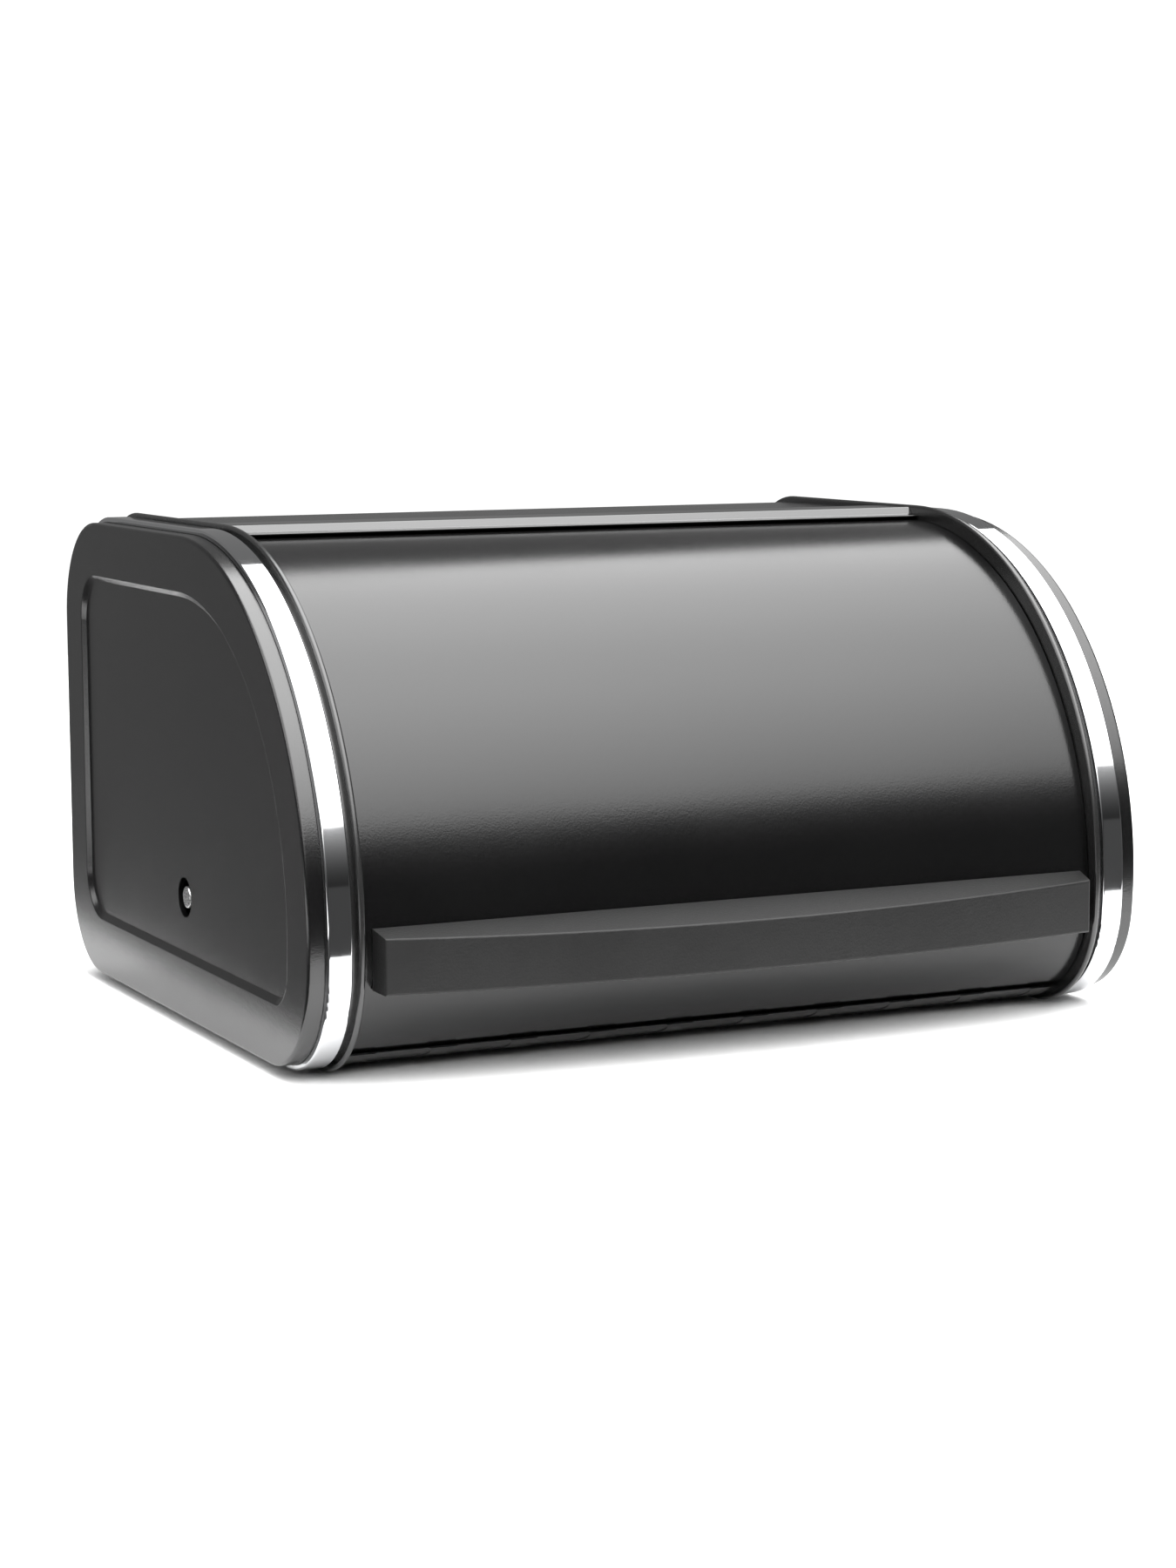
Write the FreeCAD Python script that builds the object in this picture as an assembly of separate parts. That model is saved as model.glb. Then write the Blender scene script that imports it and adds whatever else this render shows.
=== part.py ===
"""Roll-top bread bin: a sheet body between two D-shaped ends, and a roll lid on two pivots.

Frame: +X to the bin's right, +Y to its back, +Z up, millimetres.
Origin: bottom centre of the bounding box, so the feet stand on z = 0.
"""
import FreeCAD, Part
import math
import os
from FreeCAD import Vector

# Ends, in side view
WIDTH = 342.0            # over the two side panels
END_HEIGHT = 185.0       # height of a side panel
END_BOTTOM = 4.0         # lowest edge of a side panel above the surface
FRONT_RADIUS = 134.7     # big front arc of a side panel
REAR_REACH = 145.5       # from the front arc's axis to the back of a side panel
ARC_Y = 1.4              # where the front arc's axis lies in the frame
REAR_TOP_RADIUS = 40.0
REAR_LOW_RADIUS = 36.0
FRONT_LOW_RADIUS = 40.0
HALF = WIDTH / 2
TOP = END_BOTTOM + END_HEIGHT
REAR = ARC_Y + REAR_REACH

# Stations along X, measured inwards from the outer face of a side panel
PANEL_RIM = 6.4          # depth of the side panel's rim
TRIM_START = 6.8         # bright trim band
TRIM_END = 16.0
BEAD_START = 18.0        # raised bead of the end frame
FRAME_END = 20.4         # inner face of the end frame
FRAME_FACE = HALF - FRAME_END

# How far each skin stands off the side panel's outline
TRIM_OFFSET = 2.1
TRIM_SEAT = 0.3
BEAD_OFFSET = 3.6
TRIM_ROUND = 0.7         # rounded edges of the trim and the bead
BEAD_ROUND = 1.1
SMALL_ROUND = 0.6        # broken edges of screws, pads, sleeves and pins

# Side panel
RIM_ROUND = 1.3          # fold between the panel's face and its rim
PANEL_WALL = 2.0
FIELD_DEPTH = 1.8        # how deep the pressed field lies
FIELD_INSET = (21.3, 21.2, 23.1)     # border beside the field: rear, top, bottom
FIELD_FRONT_RADIUS = 114.0
FIELD_CORNERS = (19.0, 19.0, 13.0)   # rear top, rear low, front low
FIELD_SLOPE = 2.2        # how far the field's sloping edge runs inwards
FIELD_FOLD = 0.9         # rounding of the folds along the field's edge
PANEL_SCREWS = [(ARC_Y + y, END_BOTTOM + z) for y, z in
                ((-85, 95), (-45, 140), (70, 148), (112, 100), (108, 38), (20, 32), (-75, 34))]
PANEL_BOSS_RADIUS = 4.0
SCREW_RADIUS = 1.6
SCREW_HEAD_RADIUS = 3.4
SCREW_HEAD_HEIGHT = 1.6
SCREW_END = HALF - 7.0

# End frame
WEB_THICKNESS = 2.4
WEB_INNER = FRAME_FACE + 2.0
WEB_OUTER = WEB_INNER + WEB_THICKNESS
FRAME_RIM_WALL = 3.5
BEAD_DEPTH = 5.1
LEDGE = 5.0              # ledge that carries the body sheet
LEDGE_THICKNESS = 2.0
LEDGE_START = ARC_Y + 36.0
LEDGE_END_ANGLE = -63.0

# Body sheet
SHEET = 0.8
BODY_OFFSET = 1.0        # at the top and the back
BODY_DROP = 2.5          # below the side panel's bottom edge
BODY_START = ARC_Y + 8.0 # front edge of the top
BODY_LENGTH = 2 * FRAME_FACE - 0.2
BODY_TOP = TOP + BODY_OFFSET
BODY_REAR = REAR + BODY_OFFSET
BODY_BOTTOM = END_BOTTOM - BODY_DROP
LIP_RADIUS = 42.5        # turned-up front edge of the base
LIP_Y = ARC_Y - 89.7
LIP_END_ANGLE = -57.0
DIMPLE_COUNT = 9
DIMPLE_PITCH = 31.8
DIMPLE_RADIUS = 12.2
DIMPLE_DEPTH = 0.3
DIMPLE_ANGLE = LIP_END_ANGLE - 7.0
DIMPLE_BEVEL = 2.0

# Rivets through the body sheet and the ledges: (y, z, outward direction)
RIVETS = [(ARC_Y + y, BODY_BOTTOM, (0, 0, -1)) for y in (-70, 10, 85)]
RIVETS += [(BODY_REAR, END_BOTTOM + z, (0, 1, 0)) for z in (62, 138)]
RIVET_RADIUS = 1.2
RIVET_DEPTH = 3.4
RIVET_HEAD_RADIUS = 2.3
RIVET_HEAD_HEIGHT = 0.7
RIVET_BEVEL = 0.3
LEDGE_MIDDLE = FRAME_FACE - LEDGE / 2

# Strip along the front of the top: a flat band, a steep fold and a thin lip just above the lid
NOSE_RISE = 1.8          # above the body's top
NOSE_UNDER = 1.95        # underside of the lip below the body's top
NOSE_LIP_THICKNESS = 0.55
NOSE_LIP_FALL = 0.3      # from the fold to the tip
NOSE_REAR = ARC_Y + 24.0
NOSE_FOLD = ARC_Y + 4.2  # where the flat band ends
NOSE_FOOT = ARC_Y + 1.25 # where the fold meets the lip
NOSE_TIP = ARC_Y - 3.4

# Roll lid
PIVOT_Y = ARC_Y + 3.0
PIVOT_Z = END_BOTTOM + 46.5
LID_RADIUS = 136.4
LID_CURL_RADIUS = 41.0   # curled lower edge
LID_CURL_START = -3.0    # angles from straight ahead, up positive
LID_CURL_END = -62.5
LID_TOP_ANGLE = 97.0
LID_GAP = 0.6            # between the lid's ends and the end frames
LID_TRAVEL = 80.0
LID_END = FRAME_FACE - LID_GAP

# Cheeks that carry the lid
CHEEK_OUTER = LID_END - 0.6
CHEEK_THICKNESS = 2.0
CHEEK_INNER = CHEEK_OUTER - CHEEK_THICKNESS
CHEEK_TOP_ANGLE = 96.0
CHEEK_CURL_END = -60.0
CHEEK_HUB_RADIUS = 11.0
CHEEK_HUB_RISE = 1.8
FLANGE_WIDTH = 10.0
FLANGE_THICKNESS = 1.6
FLANGE_END_ANGLE = -20.0

# Pivot
PIN_HEAD_RADIUS = 4.3
PIN_RADIUS = 3.5
PIN_ROUND = 0.8
RUNNING_CLEARANCE = 0.05
BUSH_RADIUS = 5.0
BUSH_FLANGE_RADIUS = 7.0
BUSH_FLANGE_FACE = CHEEK_OUTER + 1.0
BUSH_END = CHEEK_INNER - 2.2
CLIP_THICKNESS = 0.8
CLIP_RADIUS = 6.5
CLIP_MOUTH = 5.0
CLIP_FACE = BUSH_END - 0.3
GROOVE_RADIUS = 2.9
PIN_END = CLIP_FACE - CLIP_THICKNESS - 1.6
HUB_RADIUS = 7.55
HUB_FACE = HALF - FIELD_DEPTH - 4.2     # sunk, so that the pin stands in a small well
PIN_FACE = HALF - FIELD_DEPTH - 0.5
HUB_INNER = CHEEK_OUTER + 1.6

# Stop pegs, met by the cheeks' straight edges
PEG_RADIUS = 2.5
BUFFER_RADIUS = 4.5
PEG_END = CHEEK_INNER - 1.0
STOP_CLEARANCE = 0.3
CLOSED_STOP_REACH = 70.0 # from the pivot
OPEN_STOP_REACH = 80.0

# Handle: a bowed bar along the front of the lid
HANDLE_HALF = 146.4
HANDLE_DRAFT = 1.2       # how much each end leans in at the front
HANDLE_SKIN = ARC_Y - 133.2          # where the top face meets the lid
HANDLE_REAR = ARC_Y - 125.0          # inside the lid, cut away by the lid's curve
HANDLE_FRONT = ARC_Y - 151.9
HANDLE_BOW = 9.5
HANDLE_TOP = END_BOTTOM + 53.4
HANDLE_TOP_SLOPE = 0.27
HANDLE_LOW = END_BOTTOM + 31.4
HANDLE_LOW_SLOPE = 0.075
HANDLE_ROUND = 0.9
HANDLE_WALL = 2.4
HANDLE_BOSS_RADIUS = 4.5
HANDLE_SCREW_X = (-122.0, -42.0, 42.0, 122.0)
HANDLE_SCREW_Z = END_BOTTOM + 41.0
HANDLE_SCREW_RADIUS = 2.0
HANDLE_SCREW_TIP = ARC_Y - 142.0
HANDLE_SCREW_SEAT = PIVOT_Y - LID_RADIUS + SHEET + 0.4
HANDLE_SCREW_HEAD = (3.6, 2.2)       # radius and height

# Foot pads
PAD_RADIUS = 8.0
PAD_X = (-125.0, 125.0)
PAD_Y = (ARC_Y - 72.0, ARC_Y + 82.0)

# How far a cutting tool runs past the face that it opens
OVERRUN = 1.0


def polar(y, z, radius, degrees):
    """Point (y, z) at an angle measured upwards from straight ahead (-Y)."""
    angle = math.radians(degrees)
    return (y - radius * math.cos(angle), z + radius * math.sin(angle))


def at_x(x, point):
    return Vector(x, point[0], point[1])


def line(x, a, b):
    return Part.LineSegment(at_x(x, a), at_x(x, b)).toShape()


def turn(x, centre, radius, start, end):
    """Arc about a centre between two angles."""
    points = [polar(centre[0], centre[1], radius, a) for a in (start, (start + end) / 2, end)]
    return Part.Arc(*[at_x(x, p) for p in points]).toShape()


def prism(edges, length):
    """Solid from a closed chain of edges in a YZ plane, grown along X."""
    return Part.Face(Part.Wire(edges)).extrude(Vector(length, 0, 0))


def rounded_prism(x, corners, length):
    """Solid from a closed outline of (y, z, rounding radius) corners, grown along X."""
    edges = []
    starts = []
    ends = []
    for index, (y, z, radius) in enumerate(corners):
        corner = at_x(x, (y, z))
        before = at_x(x, corners[index - 1][:2]) - corner
        after = at_x(x, corners[(index + 1) % len(corners)][:2]) - corner
        before.normalize()
        after.normalize()
        half_angle = before.getAngle(after) / 2
        reach = radius / math.tan(half_angle)
        starts.append(corner + before * reach)
        ends.append(corner + after * reach)
        if radius > 0:
            inward = (before + after).normalize()
            middle = corner + inward * (radius / math.sin(half_angle) - radius)
            edges.append(Part.Arc(starts[-1], middle, ends[-1]).toShape())
    for index in range(len(corners)):
        edges.append(Part.LineSegment(ends[index - 1], starts[index]).toShape())
    wire = Part.Wire(Part.__sortEdges__(edges))
    return Part.Face(wire).extrude(Vector(length, 0, 0))


def d_edges(x, rear, top, bottom, radius, rear_top, rear_low, front_low):
    """D outline: front arc, flat top, upright back and flat bottom, all joined by tangent curves."""
    centre_z = top - radius
    drop = bottom + front_low - centre_z
    low_y = ARC_Y - math.sqrt((radius - front_low) ** 2 - drop ** 2)
    low = (low_y, bottom + front_low)
    meet = math.degrees(math.asin(drop / (radius - front_low)))
    top_corner = (rear - rear_top, top - rear_top)
    low_corner = (rear - rear_low, bottom + rear_low)
    return [
        turn(x, (ARC_Y, centre_z), radius, meet, 90),
        line(x, (ARC_Y, top), (top_corner[0], top)),
        turn(x, top_corner, rear_top, 90, 180),
        line(x, (rear, top_corner[1]), (rear, low_corner[1])),
        turn(x, low_corner, rear_low, 180, 270),
        line(x, (low_corner[0], bottom), (low[0], bottom)),
        turn(x, low, front_low, -90, meet),
    ]


def d_solid(offset, x_start, x_end):
    """Block with the end's D outline, grown outwards by an offset, between two X stations."""
    edges = d_edges(x_start, REAR + offset, TOP + offset, END_BOTTOM - offset, FRONT_RADIUS + offset,
                    REAR_TOP_RADIUS + offset, REAR_LOW_RADIUS + offset, FRONT_LOW_RADIUS + offset)
    return prism(edges, x_end - x_start)


def field_outline(x, grow):
    """Outline of the pressed field in a side panel."""
    rear, top, bottom = FIELD_INSET
    rear_top, rear_low, front_low = FIELD_CORNERS
    edges = d_edges(x, REAR - rear + grow, TOP - top + grow, END_BOTTOM + bottom - grow,
                    FIELD_FRONT_RADIUS + grow, rear_top + grow, rear_low + grow, front_low + grow)
    return Part.Wire(edges)


def rod(radius, x_start, x_end, y, z):
    return Part.makeCylinder(radius, x_end - x_start, Vector(x_start, y, z), Vector(1, 0, 0))


def other_side(shape):
    return shape.mirror(Vector(0, 0, 0), Vector(1, 0, 0))


def edges_at(shape, x, tolerance=0.01):
    """Edges that lie in the plane at an X station."""
    found = []
    for edge in shape.Edges:
        box = edge.BoundBox
        if abs(box.XMin - x) < tolerance and abs(box.XMax - x) < tolerance:
            found.append(edge)
    return found


def outer_edges_at(shape, x, offset):
    """Edges at an X station that belong to the D outline with the given offset."""
    inside = d_solid(offset - 0.05, x - OVERRUN, x + OVERRUN)
    found = []
    for edge in edges_at(shape, x):
        point = edge.valueAt((edge.FirstParameter + edge.LastParameter) / 2)
        if not inside.isInside(point, 0.001, True):
            found.append(edge)
    return found


def side_panel():
    """Right side panel: rim with a crisp fold, flat border and a pressed field with a sloping edge."""
    block = d_solid(0, HALF - PANEL_RIM, HALF)
    block = block.makeFillet(RIM_ROUND, outer_edges_at(block, HALF, 0))
    field_floor = HALF - FIELD_DEPTH
    steepness = FIELD_SLOPE / FIELD_DEPTH
    field = Part.makeLoft([field_outline(HALF + OVERRUN, steepness * OVERRUN),
                           field_outline(field_floor, -FIELD_SLOPE)], True, True)
    panel = block.cut(field)
    fold = edges_at(panel, HALF) + edges_at(panel, field_floor)
    field_reach = d_solid(-RIM_ROUND - OVERRUN, field_floor - OVERRUN, HALF + OVERRUN)
    fold = [e for e in fold if field_reach.isInside(e.CenterOfMass, 0.001, True)]
    panel = panel.makeFillet(FIELD_FOLD, fold)
    inner_face = field_floor - PANEL_WALL
    back = d_solid(-PANEL_WALL, HALF - PANEL_RIM, inner_face)
    channel = d_solid(-2 * PANEL_WALL, inner_face, HALF - PANEL_WALL).cut(
        Part.Face(field_outline(inner_face - OVERRUN, PANEL_WALL)).extrude(Vector(6, 0, 0)))
    panel = panel.cut(back).cut(channel)
    for y, z in PANEL_SCREWS:
        panel = panel.fuse(rod(PANEL_BOSS_RADIUS, WEB_OUTER, inner_face + PANEL_WALL / 4, y, z))
    for y, z in PANEL_SCREWS:
        panel = panel.cut(rod(SCREW_RADIUS, WEB_OUTER, SCREW_END, y, z))
    hub_hole = rod(HUB_RADIUS + 0.2, HALF - 10, HALF + OVERRUN, PIVOT_Y, PIVOT_Z)
    return panel.cut(hub_hole).removeSplitter()


def stop_places():
    """The two pegs that the lid's cheeks come to rest on, closed and open."""
    gap = BUFFER_RADIUS + STOP_CLEARANCE
    closed = cheek_low_angle() - math.degrees(math.asin(gap / CLOSED_STOP_REACH))
    opened = CHEEK_TOP_ANGLE + LID_TRAVEL + math.degrees(math.asin(gap / OPEN_STOP_REACH))
    return [polar(PIVOT_Y, PIVOT_Z, CLOSED_STOP_REACH, closed),
            polar(PIVOT_Y, PIVOT_Z, OPEN_STOP_REACH, opened)]


def body_band(x, start_y, outer, inner, lip_angle):
    """Strip of the wrap-round body between two depths below its outer skin."""
    top_radius = REAR_TOP_RADIUS + BODY_OFFSET
    low_radius = REAR_LOW_RADIUS + BODY_OFFSET
    top_corner = (BODY_REAR - top_radius, BODY_TOP - top_radius)
    low_corner = (BODY_REAR - low_radius, BODY_BOTTOM + low_radius)
    lip = (LIP_Y, BODY_BOTTOM + LIP_RADIUS)

    def skin(depth):
        top = BODY_TOP - depth
        rear = BODY_REAR - depth
        bottom = BODY_BOTTOM + depth
        return [
            line(x, (start_y, top), (top_corner[0], top)),
            turn(x, top_corner, top_radius - depth, 90, 180),
            line(x, (rear, top_corner[1]), (rear, low_corner[1])),
            turn(x, low_corner, low_radius - depth, 180, 270),
            line(x, (low_corner[0], bottom), (lip[0], bottom)),
            turn(x, lip, LIP_RADIUS - depth, -90, lip_angle),
        ]
    front = line(x, polar(*lip, LIP_RADIUS - outer, lip_angle), polar(*lip, LIP_RADIUS - inner, lip_angle))
    close = line(x, (start_y, BODY_TOP - inner), (start_y, BODY_TOP - outer))
    return skin(outer) + [front] + skin(inner)[::-1] + [close]


def rivet(x, place, head=True):
    """Rivet shank pointing inwards, with a flat round head on the outer skin."""
    y, z, out = place
    outward = Vector(*out)
    start = Vector(x, y, z)
    shank = Part.makeCylinder(RIVET_RADIUS, RIVET_DEPTH, start, outward * -1)
    if not head:
        return shank
    cap = Part.makeCylinder(RIVET_HEAD_RADIUS, RIVET_HEAD_HEIGHT, start, outward)
    rim = [e for e in cap.Edges if (e.CenterOfMass - start).dot(outward) > RIVET_HEAD_HEIGHT - 0.01]
    return shank.fuse(cap.makeChamfer(RIVET_BEVEL, rim)).removeSplitter()


def end_frame():
    """Right end frame: web, rim under the trim, raised bead, sheet ledge, hub and stop pegs."""
    rim = d_solid(TRIM_SEAT, FRAME_FACE, HALF - PANEL_RIM - 0.1)
    rim = rim.cut(d_solid(TRIM_SEAT - FRAME_RIM_WALL, FRAME_FACE - OVERRUN, HALF))
    bead = d_solid(BEAD_OFFSET, FRAME_FACE, HALF - BEAD_START)
    bead = bead.makeFillet(BEAD_ROUND, outer_edges_at(bead, HALF - BEAD_START, BEAD_OFFSET)
                           + outer_edges_at(bead, FRAME_FACE, BEAD_OFFSET))
    bead = bead.cut(d_solid(BEAD_OFFSET - BEAD_DEPTH, FRAME_FACE - OVERRUN, HALF))
    web = d_solid(TRIM_SEAT - FRAME_RIM_WALL + 0.2, WEB_INNER, WEB_OUTER)
    ledge = prism(body_band(FRAME_FACE - LEDGE, LEDGE_START, SHEET, SHEET + LEDGE_THICKNESS,
                            LEDGE_END_ANGLE), LEDGE + 0.5)
    hub = rod(HUB_RADIUS, HUB_INNER, HUB_FACE, PIVOT_Y, PIVOT_Z)
    frame = rim.fuse([bead, web, ledge, hub])
    for y, z in stop_places():
        frame = frame.fuse(rod(PEG_RADIUS, PEG_END, WEB_OUTER, y, z))
    for y, z in PANEL_SCREWS:
        frame = frame.cut(rod(SCREW_RADIUS + 0.1, WEB_INNER - OVERRUN, WEB_OUTER + OVERRUN, y, z))
    for place in RIVETS:
        frame = frame.cut(rivet(LEDGE_MIDDLE, place, head=False))
    pin_hole = rod(PIN_HEAD_RADIUS, HUB_INNER - OVERRUN, HUB_FACE + OVERRUN, PIVOT_Y, PIVOT_Z)
    return frame.cut(pin_hole).removeSplitter()


def chrome_trim():
    """Bright D band seated on the end frame's rim, with both edges rounded over."""
    outer, inner = HALF - TRIM_START, HALF - TRIM_END
    band = d_solid(TRIM_OFFSET, inner, outer)
    band = band.makeFillet(TRIM_ROUND, outer_edges_at(band, outer, TRIM_OFFSET)
                           + outer_edges_at(band, inner, TRIM_OFFSET))
    return band.cut(d_solid(TRIM_SEAT, inner - OVERRUN, outer + OVERRUN))


def body_shell():
    """Base, back and top in one wrapped sheet, with a row of round dimples along its front lip."""
    shell = prism(body_band(-BODY_LENGTH / 2, BODY_START, 0, SHEET, LIP_END_ANGLE), BODY_LENGTH)
    angle = math.radians(DIMPLE_ANGLE)
    outward = Vector(0, -math.cos(angle), math.sin(angle))
    y, z = polar(LIP_Y, BODY_BOTTOM + LIP_RADIUS, LIP_RADIUS, DIMPLE_ANGLE)
    cone_height = 3.0
    for index in range(DIMPLE_COUNT):
        x = (index - (DIMPLE_COUNT - 1) / 2) * DIMPLE_PITCH
        cone = Part.makeCone(DIMPLE_RADIUS - DIMPLE_BEVEL, DIMPLE_RADIUS + DIMPLE_BEVEL, cone_height,
                             Vector(x, y, z) - outward * (cone_height / 2), outward)
        skin = prism(body_band(x - DIMPLE_PITCH / 2, BODY_START, 0, DIMPLE_DEPTH, LIP_END_ANGLE),
                     DIMPLE_PITCH)
        shell = shell.cut(cone.common(skin))
    for side in (-1, 1):
        for place in RIVETS:
            shell = shell.cut(rivet(side * LEDGE_MIDDLE, place, head=False))
    return shell


def nose_trim():
    """Strip along the front of the top: flat, folded steeply down, then a thin lip above the lid."""
    top = BODY_TOP + NOSE_RISE
    under = BODY_TOP - NOSE_UNDER
    lip_top = under + NOSE_LIP_THICKNESS
    seam = BODY_START - 0.1
    corners = [(NOSE_REAR, top, 0.6), (NOSE_FOLD, top, 1.6), (NOSE_FOOT, lip_top + NOSE_LIP_FALL, 1.2),
               (NOSE_TIP, lip_top, 0.22), (NOSE_TIP, under, 0.15), (seam, under, 0),
               (seam, BODY_TOP, 0), (NOSE_REAR, BODY_TOP, 0)]
    return rounded_prism(-BODY_LENGTH / 2, corners, BODY_LENGTH)


def lid_curl_centre():
    return polar(PIVOT_Y, PIVOT_Z, LID_RADIUS - LID_CURL_RADIUS, LID_CURL_START)


def lid_band(x, outer, inner, top_angle, curl_angle):
    """Strip of the lid between two depths below its outer skin."""
    curl = lid_curl_centre()
    pivot = (PIVOT_Y, PIVOT_Z)
    return [
        turn(x, pivot, LID_RADIUS - outer, top_angle, LID_CURL_START),
        turn(x, curl, LID_CURL_RADIUS - outer, LID_CURL_START, curl_angle),
        line(x, polar(*curl, LID_CURL_RADIUS - outer, curl_angle),
             polar(*curl, LID_CURL_RADIUS - inner, curl_angle)),
        turn(x, curl, LID_CURL_RADIUS - inner, curl_angle, LID_CURL_START),
        turn(x, pivot, LID_RADIUS - inner, LID_CURL_START, top_angle),
        line(x, polar(*pivot, LID_RADIUS - inner, top_angle), polar(*pivot, LID_RADIUS - outer, top_angle)),
    ]


def roll_lid():
    """Curved lid sheet, its lower edge curled in above the base's lip."""
    sheet = prism(lid_band(-LID_END, 0, SHEET, LID_TOP_ANGLE, LID_CURL_END), 2 * LID_END)
    for x in HANDLE_SCREW_X:
        sheet = sheet.cut(handle_screw_shank(x, HANDLE_SCREW_RADIUS + 0.2))
    return sheet


def handle_block(shrink):
    """Bar with a bowed front, drafted ends and sloping top and bottom faces, less a wall all round."""
    half = HANDLE_HALF - shrink
    half_front = half - HANDLE_DRAFT
    front = HANDLE_FRONT + shrink
    shoulder = front + HANDLE_BOW
    bow = Part.Arc(Vector(-half_front, shoulder, 0), Vector(0, front, 0), Vector(half_front, shoulder, 0))
    sides = Part.makePolygon([Vector(half_front, shoulder, 0), Vector(half, HANDLE_SKIN, 0),
                              Vector(half, HANDLE_REAR, 0), Vector(-half, HANDLE_REAR, 0),
                              Vector(-half, HANDLE_SKIN, 0), Vector(-half_front, shoulder, 0)])
    bowed = Part.Face(Part.Wire([bow.toShape(), sides])).extrude(Vector(0, 0, TOP))
    reach = HANDLE_FRONT - OVERRUN

    def top_at(y):
        return HANDLE_TOP - shrink + HANDLE_TOP_SLOPE * (y - HANDLE_SKIN)

    def low_at(y):
        return HANDLE_LOW + shrink + HANDLE_LOW_SLOPE * (y - HANDLE_SKIN)
    section = [(HANDLE_REAR, top_at(HANDLE_REAR)), (reach, top_at(reach)),
               (reach, low_at(reach)), (HANDLE_REAR, low_at(HANDLE_REAR))]
    edges = [line(-HALF, a, b) for a, b in zip(section, section[1:] + section[:1])]
    return bowed.common(prism(edges, WIDTH))


def lid_handle():
    """Hollow moulded bar with four screw bosses, open towards the lid."""
    bar = handle_block(0)
    front_edges = [e for e in bar.Edges if e.CenterOfMass.y < HANDLE_FRONT + HANDLE_BOW + OVERRUN]
    bar = bar.makeFillet(HANDLE_ROUND, front_edges)
    hollow = handle_block(HANDLE_WALL)
    for x in HANDLE_SCREW_X:
        boss = Part.makeCylinder(HANDLE_BOSS_RADIUS, -HANDLE_FRONT, Vector(x, HANDLE_FRONT, HANDLE_SCREW_Z),
                                 Vector(0, 1, 0))
        hollow = hollow.cut(boss)
    bar = bar.cut(hollow)
    bar = bar.cut(rod(LID_RADIUS + 0.05, -HALF, HALF, PIVOT_Y, PIVOT_Z))
    for x in HANDLE_SCREW_X:
        bar = bar.cut(handle_screw_shank(x, HANDLE_SCREW_RADIUS))
    return bar.removeSplitter()


def handle_screw_shank(x, radius):
    return Part.makeCylinder(radius, HANDLE_SCREW_SEAT - HANDLE_SCREW_TIP,
                             Vector(x, HANDLE_SCREW_TIP, HANDLE_SCREW_Z), Vector(0, 1, 0))


def handle_screws():
    """Four pan-head screws driven from inside the lid."""
    radius, height = HANDLE_SCREW_HEAD
    face = HANDLE_SCREW_SEAT + height
    screws = []
    for x in HANDLE_SCREW_X:
        seat = Vector(x, HANDLE_SCREW_SEAT, HANDLE_SCREW_Z)
        head = Part.makeCylinder(radius, height, seat, Vector(0, 1, 0))
        head = head.makeFillet(SMALL_ROUND, [e for e in head.Edges if e.CenterOfMass.y > face - 0.1])
        slot = cross_slot(seat + Vector(0, height, 0))
        screws.append(head.fuse(handle_screw_shank(x, HANDLE_SCREW_RADIUS)).cut(slot).removeSplitter())
    return Part.makeCompound(screws)


def cross_slot(centre):
    """Cross recess opening towards +Y."""
    length, width, depth = 3.6, 0.8, 1.2
    wide = Part.makeBox(length, depth, width, centre + Vector(-length / 2, -depth, -width / 2))
    tall = Part.makeBox(width, depth, length, centre + Vector(-width / 2, -depth, -length / 2))
    return wide.fuse(tall)


def cheek_low_angle():
    """Direction of the cheek's lower edge as seen from the pivot."""
    y, z = polar(*lid_curl_centre(), LID_CURL_RADIUS - SHEET, CHEEK_CURL_END)
    return math.degrees(math.atan2(z - PIVOT_Z, PIVOT_Y - y))


def lid_cheek():
    """Right cheek: a sector plate with a hub, and a flange under the lid sheet."""
    x = CHEEK_INNER
    curl = lid_curl_centre()
    pivot = (PIVOT_Y, PIVOT_Z)
    low = polar(*curl, LID_CURL_RADIUS - SHEET, CHEEK_CURL_END)
    high = polar(*pivot, LID_RADIUS - SHEET, CHEEK_TOP_ANGLE)
    plate = prism([
        line(x, pivot, high),
        turn(x, pivot, LID_RADIUS - SHEET, CHEEK_TOP_ANGLE, LID_CURL_START),
        turn(x, curl, LID_CURL_RADIUS - SHEET, LID_CURL_START, CHEEK_CURL_END),
        line(x, low, pivot),
    ], CHEEK_THICKNESS)
    flange = prism(lid_band(CHEEK_OUTER - FLANGE_WIDTH, SHEET, SHEET + FLANGE_THICKNESS,
                            CHEEK_TOP_ANGLE - 2, FLANGE_END_ANGLE), FLANGE_WIDTH)
    hub = rod(CHEEK_HUB_RADIUS, CHEEK_INNER - CHEEK_HUB_RISE, CHEEK_OUTER, PIVOT_Y, PIVOT_Z)
    cheek = plate.fuse([flange, hub])
    bore = rod(BUSH_RADIUS, BUSH_END - OVERRUN, CHEEK_OUTER + OVERRUN, PIVOT_Y, PIVOT_Z)
    return cheek.cut(bore).removeSplitter()


def pivot_bush():
    """Flanged bush pressed into the cheek's hub."""
    bush = rod(BUSH_RADIUS, BUSH_END, CHEEK_OUTER, PIVOT_Y, PIVOT_Z)
    bush = bush.fuse(rod(BUSH_FLANGE_RADIUS, CHEEK_OUTER, BUSH_FLANGE_FACE, PIVOT_Y, PIVOT_Z))
    bore = rod(PIN_RADIUS + RUNNING_CLEARANCE, BUSH_END - OVERRUN, BUSH_FLANGE_FACE + OVERRUN,
               PIVOT_Y, PIVOT_Z)
    return bush.cut(bore).removeSplitter()


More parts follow.
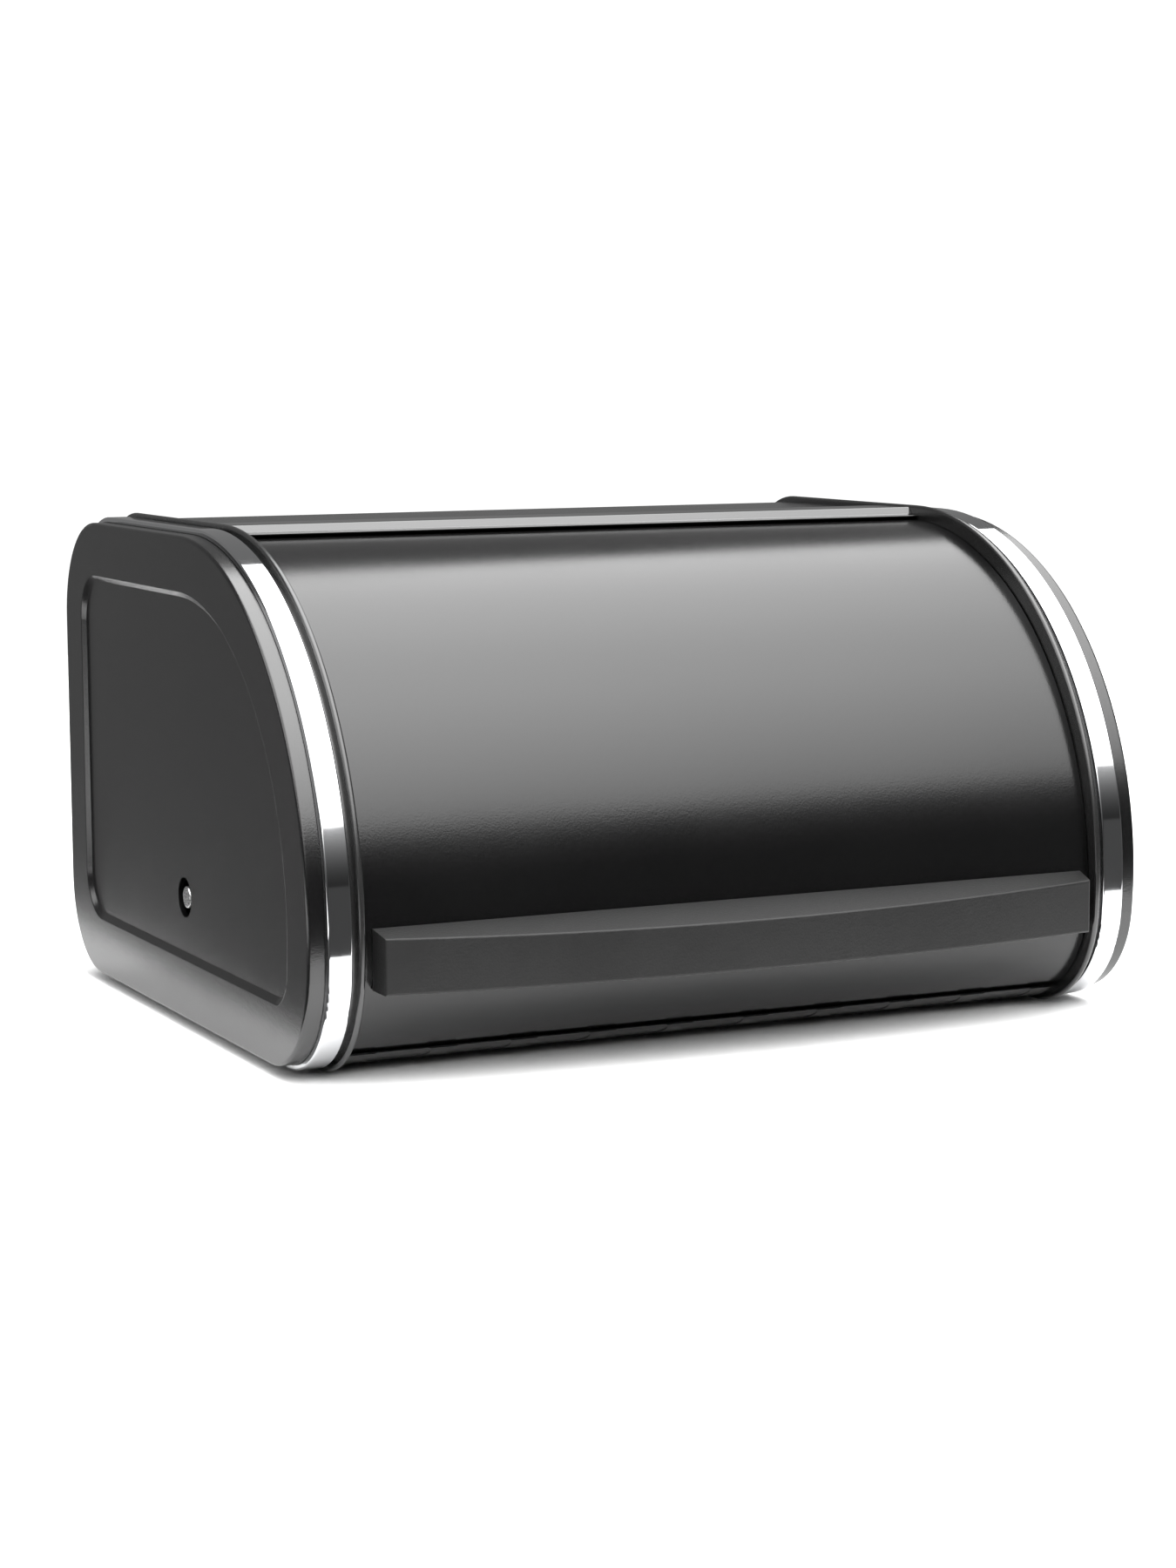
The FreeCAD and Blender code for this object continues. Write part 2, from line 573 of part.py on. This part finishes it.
def pivot_pin():
    """Steel pin pressed into the hub, with a slightly domed outer face and a clip groove inside."""
    head = rod(PIN_HEAD_RADIUS, HUB_INNER, PIN_FACE, PIVOT_Y, PIVOT_Z)
    head = head.makeFillet(PIN_ROUND, edges_at(head, PIN_FACE))
    shank = rod(PIN_RADIUS, PIN_END, HUB_INNER, PIVOT_Y, PIVOT_Z)
    shank = shank.makeChamfer(SMALL_ROUND, edges_at(shank, PIN_END))
    groove = rod(PIN_RADIUS + OVERRUN, CLIP_FACE - CLIP_THICKNESS, CLIP_FACE, PIVOT_Y, PIVOT_Z).cut(
        rod(GROOVE_RADIUS, CLIP_FACE - CLIP_THICKNESS, CLIP_FACE, PIVOT_Y, PIVOT_Z))
    return head.fuse(shank).cut(groove).removeSplitter()


def pin_clip():
    """Open retaining clip in the pin's groove."""
    clip = rod(CLIP_RADIUS, CLIP_FACE - CLIP_THICKNESS, CLIP_FACE, PIVOT_Y, PIVOT_Z)
    start = CLIP_FACE - CLIP_THICKNESS - OVERRUN
    end = CLIP_FACE + OVERRUN
    clip = clip.cut(rod(GROOVE_RADIUS, start, end, PIVOT_Y, PIVOT_Z))
    depth = 2 * CLIP_RADIUS
    mouth = Part.makeBox(end - start, CLIP_MOUTH, depth,
                         Vector(start, PIVOT_Y - CLIP_MOUTH / 2, PIVOT_Z - depth))
    return clip.cut(mouth)


def panel_screws():
    """Screws through the web into the side panel's bosses, heads on the inside."""
    length, width, depth = 3.4, 0.7, 1.0
    head_face = WEB_INNER - SCREW_HEAD_HEIGHT
    screws = []
    for y, z in PANEL_SCREWS:
        head = rod(SCREW_HEAD_RADIUS, head_face, WEB_INNER, y, z)
        head = head.makeFillet(SMALL_ROUND, edges_at(head, head_face))
        shank = rod(SCREW_RADIUS, WEB_INNER, SCREW_END - 1.0, y, z)
        slot = Part.makeBox(depth, length, width, Vector(head_face, y - length / 2, z - width / 2)).fuse(
            Part.makeBox(depth, width, length, Vector(head_face, y - width / 2, z - length / 2)))
        screws.append(head.fuse(shank).cut(slot).removeSplitter())
    return Part.makeCompound(screws)


def stop_buffers():
    """Rubber sleeves on the two stop pegs."""
    face = PEG_END + 0.2
    sleeves = []
    for y, z in stop_places():
        sleeve = rod(BUFFER_RADIUS, face, WEB_INNER, y, z)
        sleeve = sleeve.makeFillet(SMALL_ROUND, edges_at(sleeve, face))
        sleeves.append(sleeve.cut(rod(PEG_RADIUS, PEG_END - OVERRUN, WEB_INNER + OVERRUN, y, z)))
    return Part.makeCompound(sleeves)


def body_rivets():
    rivets = [rivet(side * LEDGE_MIDDLE, place) for side in (-1, 1) for place in RIVETS]
    return Part.makeCompound(rivets)


def foot_pads():
    """Four round pads under the base."""
    pads = []
    for x in PAD_X:
        for y in PAD_Y:
            pad = Part.makeCylinder(PAD_RADIUS, BODY_BOTTOM, Vector(x, y, 0))
            pads.append(pad.makeFillet(SMALL_ROUND, [e for e in pad.Edges if e.BoundBox.ZMax < 0.01]))
    return Part.makeCompound(pads)


def build():
    nodes = {
        "body_shell": body_shell(),
        "nose_trim": nose_trim(),
        "roll_lid": roll_lid(),
        "lid_handle": lid_handle(),
        "handle_screws": handle_screws(),
        "body_rivets": body_rivets(),
        "foot_pads": foot_pads(),
    }
    paired = {
        "side_panel": side_panel(),
        "end_frame": end_frame(),
        "chrome_trim": chrome_trim(),
        "lid_cheek": lid_cheek(),
        "pivot_bush": pivot_bush(),
        "pivot_pin": pivot_pin(),
        "pin_clip": pin_clip(),
        "panel_screws": panel_screws(),
        "stop_buffers": stop_buffers(),
    }
    for name, shape in paired.items():
        nodes[name + "_right"] = shape
        nodes[name + "_left"] = other_side(shape)
    return nodes


os.makedirs("parts", exist_ok=True)
for name, shape in build().items():
    shape.exportStep("parts/" + name + ".step")
    box = shape.BoundBox
    print(f"{name:20s} solids {len(shape.Solids)} volume {shape.Volume:.0f} valid {shape.isValid()} "
          f"size {box.XLength:.1f} x {box.YLength:.1f} x {box.ZLength:.1f}")
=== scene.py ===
import math

import bpy
from mathutils import Matrix, Vector

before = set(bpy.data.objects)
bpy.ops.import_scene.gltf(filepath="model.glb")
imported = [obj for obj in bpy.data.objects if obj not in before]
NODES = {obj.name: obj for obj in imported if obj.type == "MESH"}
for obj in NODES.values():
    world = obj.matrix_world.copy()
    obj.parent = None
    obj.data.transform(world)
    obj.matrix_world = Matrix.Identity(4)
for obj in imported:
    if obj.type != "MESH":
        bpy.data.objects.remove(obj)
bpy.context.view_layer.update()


# ---------------------------------------------------------------- node helpers

def new_material(name):
    """An empty material with a Principled shader: (material, node tree, shader, object coordinates)."""
    mat = bpy.data.materials.new(name)
    mat.use_nodes = True
    tree = mat.node_tree
    tree.nodes.clear()
    out = tree.nodes.new("ShaderNodeOutputMaterial")
    bsdf = tree.nodes.new("ShaderNodeBsdfPrincipled")
    tree.links.new(bsdf.outputs[0], out.inputs["Surface"])
    coords = tree.nodes.new("ShaderNodeTexCoord").outputs["Object"]
    return mat, tree, bsdf, coords


def noise(tree, coords, scale, detail=2.0, roughness=0.5, stretch=(1, 1, 1)):
    """Noise of that many waves a metre, stretched along each axis."""
    source = coords
    if stretch != (1, 1, 1):
        mapping = tree.nodes.new("ShaderNodeMapping")
        mapping.inputs["Scale"].default_value = stretch
        tree.links.new(coords, mapping.inputs["Vector"])
        source = mapping.outputs[0]
    node = tree.nodes.new("ShaderNodeTexNoise")
    node.inputs["Scale"].default_value = scale
    node.inputs["Detail"].default_value = detail
    node.inputs["Roughness"].default_value = roughness
    tree.links.new(source, node.inputs["Vector"])
    return node.outputs["Fac"]


def cells(tree, coords, scale):
    """Small rounded cells, as in a grained plastic."""
    node = tree.nodes.new("ShaderNodeTexVoronoi")
    node.feature = "SMOOTH_F1"
    node.inputs["Scale"].default_value = scale
    node.inputs["Smoothness"].default_value = 0.4
    tree.links.new(coords, node.inputs["Vector"])
    return node.outputs["Distance"]


def spread(tree, value, low, high, from_low=0.3, from_high=0.7):
    """value between from_low and from_high becomes a number between low and high."""
    node = tree.nodes.new("ShaderNodeMapRange")
    node.inputs["From Min"].default_value = from_low
    node.inputs["From Max"].default_value = from_high
    node.inputs["To Min"].default_value = low
    node.inputs["To Max"].default_value = high
    tree.links.new(value, node.inputs["Value"])
    return node.outputs[0]


def blend(tree, value, dark, light):
    """value becomes a colour between dark and light."""
    node = tree.nodes.new("ShaderNodeValToRGB")
    node.color_ramp.elements[0].position = 0.35
    node.color_ramp.elements[0].color = (*dark, 1)
    node.color_ramp.elements[1].position = 0.65
    node.color_ramp.elements[1].color = (*light, 1)
    tree.links.new(value, node.inputs["Fac"])
    return node.outputs["Color"]


def bumped(tree, bsdf, layers):
    """Stacks bump layers of (height, depth in metres, strength) on the shader's normal."""
    normal = None
    for height, depth, strength in layers:
        node = tree.nodes.new("ShaderNodeBump")
        node.inputs["Distance"].default_value = depth
        node.inputs["Strength"].default_value = strength
        tree.links.new(height, node.inputs["Height"])
        if normal is not None:
            tree.links.new(normal, node.inputs["Normal"])
        normal = node.outputs[0]
    tree.links.new(normal, bsdf.inputs["Normal"])


def grey(value):
    return (value, value, value)


# ---------------------------------------------------------------- finishes

LACQUER_DARK = (0.0012, 0.0012, 0.0012)
LACQUER_LIGHT = (0.0024, 0.0024, 0.00252)


def lacquer(name, rough, grain_depth, level=0.5):
    """Black stoved lacquer on steel: a fine orange peel, and a slow drift in its gloss."""
    mat, tree, bsdf, coords = new_material(name)
    patches = noise(tree, coords, 14, 3, 0.55)
    grain = noise(tree, coords, 1500, 2, 0.6)
    peel = noise(tree, coords, 420, 2, 0.5)
    tree.links.new(blend(tree, grain, LACQUER_DARK, LACQUER_LIGHT), bsdf.inputs["Base Color"])
    tree.links.new(spread(tree, patches, *rough), bsdf.inputs["Roughness"])
    bsdf.inputs["Specular IOR Level"].default_value = level
    bumped(tree, bsdf, [(peel, 0.00003, 0.35), (grain, grain_depth, 0.8)])
    return mat


def moulded(name, dark, light, rough, cell_scale, depth, level=0.5, sheen=0.0):
    """Moulded plastic or rubber with an eroded grain."""
    mat, tree, bsdf, coords = new_material(name)
    patches = noise(tree, coords, 22, 3, 0.6)
    grain = cells(tree, coords, cell_scale)
    fine = noise(tree, coords, cell_scale * 2.2, 2, 0.6)
    tree.links.new(blend(tree, patches, dark, light), bsdf.inputs["Base Color"])
    tree.links.new(spread(tree, fine, *rough), bsdf.inputs["Roughness"])
    bsdf.inputs["Specular IOR Level"].default_value = level
    bsdf.inputs["Sheen Weight"].default_value = sheen
    bsdf.inputs["Sheen Roughness"].default_value = 0.3
    bumped(tree, bsdf, [(grain, depth, 0.7), (fine, depth * 0.4, 0.6)])
    return mat


def polished(name, colour, rough, stretch=(1, 1, 1), scale=60, depth=0.000002):
    """Bright metal with faint wipe marks in its gloss."""
    mat, tree, bsdf, coords = new_material(name)
    marks = noise(tree, coords, scale, 4, 0.65, stretch)
    tint = noise(tree, coords, 9, 2, 0.5)
    lighter = tuple(min(1.0, c * 1.04) for c in colour)
    tree.links.new(blend(tree, tint, colour, lighter), bsdf.inputs["Base Color"])
    tree.links.new(spread(tree, marks, *rough), bsdf.inputs["Roughness"])
    bsdf.inputs["Metallic"].default_value = 1.0
    bumped(tree, bsdf, [(marks, depth, 0.5)])
    return mat


MATERIALS = {
    "lid_sheet": lacquer("lid_sheet", rough=(0.16, 0.20), grain_depth=0.00004),
    "satin_sheet": lacquer("satin_sheet", rough=(0.17, 0.22), grain_depth=0.00004),
    "side_sheet": lacquer("side_sheet", rough=(0.18, 0.22), grain_depth=0.00004, level=0.75),
    "cheek_sheet": lacquer("cheek_sheet", rough=(0.28, 0.34), grain_depth=0.000012),
    "gloss_strip": lacquer("gloss_strip", rough=(0.10, 0.14), grain_depth=0.000004, level=0.8),
    "chrome": polished("chrome", (0.62, 0.625, 0.635), rough=(0.04, 0.075)),
    "steel": polished("steel", grey(0.60), rough=(0.22, 0.34), stretch=(1, 1, 6), scale=500, depth=0.000006),
    "frame_plastic": moulded("frame_plastic", grey(0.006), grey(0.009), rough=(0.20, 0.28),
                             cell_scale=2200, depth=0.000008, level=0.8),
    "grip_plastic": moulded("grip_plastic", grey(0.004), grey(0.006), rough=(0.44, 0.52),
                            cell_scale=1100, depth=0.00006, level=0.3, sheen=0.15),
    "rubber": moulded("rubber", grey(0.012), grey(0.018), rough=(0.70, 0.82),
                      cell_scale=1200, depth=0.00003, level=0.3),
    "nylon": moulded("nylon", (0.62, 0.60, 0.54), (0.70, 0.68, 0.62), rough=(0.38, 0.46),
                     cell_scale=1800, depth=0.00001),
}

for node in NODES.values():
    for place in node.material_slots:
        place.material = MATERIALS[place.material.name.split(".")[0]]


# ---------------------------------------------------------------- camera

CAMERA_PLACE = Vector((-0.5758, -1.2173, 0.2565))
CAMERA_AZIMUTH = 25.29
CAMERA_ELEVATION = -7.27
CAMERA_ROLL = -0.28
CAMERA_LENS = 77.75      # for a sensor 36 mm across the frame's longer side


def look(location, azimuth, elevation, roll):
    """A camera matrix: azimuth is from +Y towards +X, elevation above the horizon, roll about the view."""
    a, e, r = (math.radians(v) for v in (azimuth, elevation, roll))
    forward = Vector((math.sin(a) * math.cos(e), math.cos(a) * math.cos(e), math.sin(e)))
    right = Vector((math.cos(a), -math.sin(a), 0.0))
    up = right.cross(forward)
    right_rolled = right * math.cos(r) + up * math.sin(r)
    up_rolled = up * math.cos(r) - right * math.sin(r)
    turn = Matrix((right_rolled, up_rolled, -forward)).transposed().to_4x4()
    return Matrix.Translation(location) @ turn


camera_data = bpy.data.cameras.new("camera")
camera = bpy.data.objects.new("camera", camera_data)
bpy.context.scene.collection.objects.link(camera)
camera_data.sensor_width = 36.0
camera_data.lens = CAMERA_LENS
camera_data.clip_start = 0.05
camera_data.clip_end = 60.0
camera.matrix_world = look(CAMERA_PLACE, CAMERA_AZIMUTH, CAMERA_ELEVATION, CAMERA_ROLL)
bpy.context.scene.camera = camera


# ---------------------------------------------------------------- floor

# The near floor is a pale card that the bin reflects. Beyond it the floor is seen and lit, but not
# reflected. A second card lies to the left, where only the folds that face forward and left reflect it.
# Each card is given by its left, front, right and rear edges.
NEAR_CARD = (-0.208, -0.315, 0.42, 0.9)
SIDE_CARD = (-1.5, -0.6, -0.5, 0.25)
SIDE_CARD_LIFT = 0.0004
FLOOR_REACH = 1.6


def staged(name, points, faces, mat):
    mesh = bpy.data.meshes.new(name)
    mesh.from_pydata(points, [], faces)
    mesh.materials.append(mat)
    obj = bpy.data.objects.new(name, mesh)
    bpy.context.scene.collection.objects.link(obj)
    return obj


def level_corners(left, front, right, rear, height=0.0):
    return [(left, front, height), (right, front, height), (right, rear, height), (left, rear, height)]


def pale_floor():
    mat, tree, bsdf, coords = new_material("floor")
    speckle = noise(tree, coords, 40, 3, 0.6)
    tree.links.new(blend(tree, speckle, grey(0.79), grey(0.82)), bsdf.inputs["Base Color"])
    bsdf.inputs["Roughness"].default_value = 0.7
    bsdf.inputs["Specular IOR Level"].default_value = 0.2
    return mat


floor_mat = pale_floor()
near_corners = level_corners(*NEAR_CARD)
staged("floor_card", near_corners, [(0, 1, 2, 3)], floor_mat)

far_corners = level_corners(-FLOOR_REACH, -FLOOR_REACH, FLOOR_REACH, FLOOR_REACH)
around = [(4 + k, 4 + (k + 1) % 4, (k + 1) % 4, k) for k in range(4)]
far_floor = staged("floor_far", near_corners + far_corners, around, floor_mat)
far_floor.visible_glossy = False

side_card = staged("floor_card_side", level_corners(*SIDE_CARD, SIDE_CARD_LIFT), [(0, 1, 2, 3)], floor_mat)
side_card.visible_camera = False
side_card.visible_diffuse = False
side_card.visible_shadow = False


# ---------------------------------------------------------------- softboxes

# One large curved softbox hangs over the bin like part of a drum along X, from low in front to high
# behind, with a dim tail below its front edge. Angles are in degrees above the front horizon.
BOX_RADIUS = 2.5
BOX_LEFT = -2.2
BOX_RIGHT = 2.8
BOX_MIDDLE = 0.8
BOX_LOW_ANGLE = 26.0
BOX_LOW_RISE = 2.9       # per metre to the right
BOX_REAR_ANGLE = 128.0
BOX_REAR_RISE = 10.0
BOX_REAR_LIMITS = (104.0, 140.0)
BOX_POWER = 7.9
FRONT_FALL = 4.0         # the power lost 45 degrees below where the fall begins
FRONT_FALL_START = 70.0
REAR_FALL = 2.4          # the power lost 40 degrees above where the fall begins
REAR_FALL_START = 95.0
SLOW_FALL = 0.0019       # per degree above SLOW_FALL_START
SLOW_FALL_START = 40.0
BRIGHT_X = 0.3           # where along X the softbox is brightest
BRIGHT_REACH = 2.3
TAIL_DEPTH = 18.0
TAIL_POWER = 0.75
TAIL_FADE = 5.5

# A second, flat softbox stands to the left and shows only in the folds that lean that way.
SIDE_BOX_X = -2.3
SIDE_BOX_Y = (-1.5, 1.3)
SIDE_BOX_Z = (0.9, 3.0)
SIDE_BOX_POWER = 3.0

STEPS = 40


def box_low(x):
    """Angle of the softbox's front edge, x metres to the right."""
    return BOX_LOW_ANGLE + BOX_LOW_RISE * (x - BOX_MIDDLE)


def box_rear(x):
    lowest, highest = BOX_REAR_LIMITS
    return min(highest, max(lowest, BOX_REAR_ANGLE + BOX_REAR_RISE * (x - BOX_MIDDLE)))


def tail_low(x):
    return box_low(x) - TAIL_DEPTH


def box_power(angle, x):
    """Brightness of the softbox at that angle, and that distance to the right."""
    front_loss = FRONT_FALL * max(0.0, (FRONT_FALL_START - angle) / 45) ** 1.3
    rear_loss = REAR_FALL * max(0.0, (angle - REAR_FALL_START) / 40)
    slow = 1 - SLOW_FALL * max(0.0, angle - SLOW_FALL_START)
    return (BOX_POWER - front_loss - rear_loss) * slow * math.exp(-((x - BRIGHT_X) / BRIGHT_REACH) ** 2)


def tail_power(angle, x):
    return TAIL_POWER * math.exp((angle - box_low(x)) / TAIL_FADE)


def glowing():
    """A material that glows by each point's power."""
    mat = bpy.data.materials.new("softbox")
    mat.use_nodes = True
    tree = mat.node_tree
    tree.nodes.clear()
    out = tree.nodes.new("ShaderNodeOutputMaterial")
    emit = tree.nodes.new("ShaderNodeEmission")
    power = tree.nodes.new("ShaderNodeAttribute")
    power.attribute_name = "power"
    tree.links.new(power.outputs["Fac"], emit.inputs["Strength"])
    tree.links.new(emit.outputs[0], out.inputs["Surface"])
    return mat


glow = glowing()


def between(ends, share):
    return ends[0] + (ends[1] - ends[0]) * share


def light_sheet(name, place, power):
    """A glowing sheet: place(u, v) gives its points and power(u, v) their brightness, u and v from 0 to 1."""
    points, levels, faces = [], [], []
    for i in range(STEPS + 1):
        for j in range(STEPS + 1):
            points.append(place(i / STEPS, j / STEPS))
            levels.append(power(i / STEPS, j / STEPS))
    for i in range(STEPS):
        for j in range(STEPS):
            k = i * (STEPS + 1) + j
            faces.append((k, k + 1, k + STEPS + 2, k + STEPS + 1))
    sheet = staged(name, points, faces, glow)
    sheet.data.attributes.new("power", "FLOAT", "POINT").data.foreach_set("value", levels)
    sheet.visible_camera = False


def curved_sheet(name, low, high, power):
    """Part of the drum over the bin, between two angles that vary with x."""
    def x_and_angle(u, v):
        x = between((BOX_LEFT, BOX_RIGHT), u)
        return x, between((low(x), high(x)), v)

    def place(u, v):
        x, angle = x_and_angle(u, v)
        a = math.radians(angle)
        return (x, -BOX_RADIUS * math.cos(a), BOX_RADIUS * math.sin(a))

    def power_at(u, v):
        x, angle = x_and_angle(u, v)
        return power(angle, x)
    light_sheet(name, place, power_at)


def side_place(u, v):
    return (SIDE_BOX_X, between(SIDE_BOX_Y, u), between(SIDE_BOX_Z, v))


curved_sheet("softbox", box_low, box_rear, box_power)
curved_sheet("softbox_tail", tail_low, box_low, tail_power)
light_sheet("softbox_side", side_place, lambda u, v: SIDE_BOX_POWER)


# ---------------------------------------------------------------- fill and room

# A soft fill from high in front lifts the floor before the bin.
FILL_PLACE = Vector((0.3, -1.3, 1.7))
FILL_SIZE = 1.5
FILL_POWER = 28.0

fill_data = bpy.data.lights.new("fill", "AREA")
fill_data.size = FILL_SIZE
fill_data.energy = FILL_POWER
fill = bpy.data.objects.new("fill", fill_data)
bpy.context.scene.collection.objects.link(fill)
fill_aim = (-FILL_PLACE).to_track_quat("-Z", "Y")
fill.matrix_world = Matrix.Translation(FILL_PLACE) @ fill_aim.to_matrix().to_4x4()
fill.visible_glossy = False

# The room is dark and lighter behind, and the backdrop shows white.
ROOM_FRONT = 0.09
ROOM_REAR = 0.28
BACKDROP = 1.1

world = bpy.data.worlds.new("studio")
bpy.context.scene.world = world
world.use_nodes = True
tree = world.node_tree
tree.nodes.clear()
out = tree.nodes.new("ShaderNodeOutputWorld")
room = tree.nodes.new("ShaderNodeBackground")
backdrop = tree.nodes.new("ShaderNodeBackground")
backdrop.inputs["Color"].default_value = (1, 1, 1, 1)
backdrop.inputs["Strength"].default_value = BACKDROP
direction = tree.nodes.new("ShaderNodeSeparateXYZ")
tree.links.new(tree.nodes.new("ShaderNodeTexCoord").outputs["Generated"], direction.inputs[0])
room_level = spread(tree, direction.outputs["Y"], ROOM_FRONT, ROOM_REAR, -1, 1)
tree.links.new(room_level, room.inputs["Strength"])
seen = tree.nodes.new("ShaderNodeLightPath")
mix = tree.nodes.new("ShaderNodeMixShader")
tree.links.new(seen.outputs["Is Camera Ray"], mix.inputs["Fac"])
tree.links.new(room.outputs[0], mix.inputs[1])
tree.links.new(backdrop.outputs[0], mix.inputs[2])
tree.links.new(mix.outputs[0], out.inputs["Surface"])

bpy.context.scene.view_settings.view_transform = "Standard"
